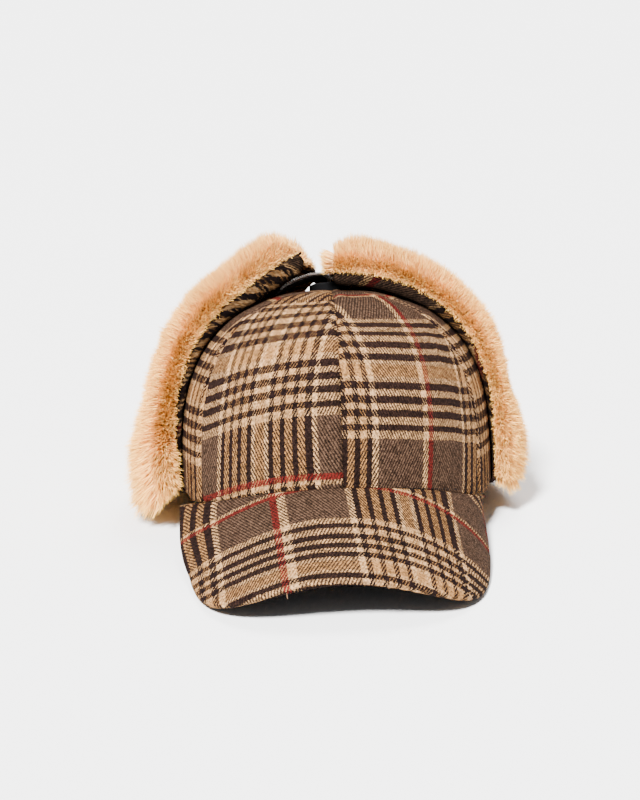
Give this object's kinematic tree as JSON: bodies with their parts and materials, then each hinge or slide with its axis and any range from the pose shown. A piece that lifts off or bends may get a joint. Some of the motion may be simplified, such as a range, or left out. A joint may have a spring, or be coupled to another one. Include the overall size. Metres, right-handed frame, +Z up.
{
  "type": "earflap cap",
  "caption": "Plaid wool cap with a panelled crown, a curved peak and fur-faced ear flaps folded up and zipped over the top.",
  "frame": {"origin": "centre of the bounding box in plan, on the surface that the cap stands on", "axes": "+Z up, -Y towards the front edge of the peak, +X towards the wearer's left"},
  "size_m": [0.2162, 0.2958, 0.1508],
  "materials": {
    "plaid_wool": "brushed twill wool in a brown, camel, cream and rust check",
    "dark_cotton": "matt near-black cotton",
    "camel_fur": "soft camel pile",
    "zip_tape": "matt black woven tape",
    "zip_metal": "dark antique metal, satin"
  },
  "bodies": {
    "root": {"crown_front_right": "plaid_wool", "crown_front_left": "plaid_wool", "crown_side_right": "plaid_wool", "crown_side_left": "plaid_wool", "crown_back_right": "plaid_wool", "crown_back_left": "plaid_wool", "peak_top": "plaid_wool", "peak_under": "dark_cotton", "flap_cloth_right": "plaid_wool", "flap_cloth_left": "plaid_wool", "flap_fur_right": "camel_fur", "flap_fur_left": "camel_fur", "zip_tape_right": "zip_tape", "zip_tape_left": "zip_tape", "zip_teeth_right": "zip_metal", "zip_teeth_left": "zip_metal", "zip_slider": "zip_metal"}
  },
  "joints": []
}
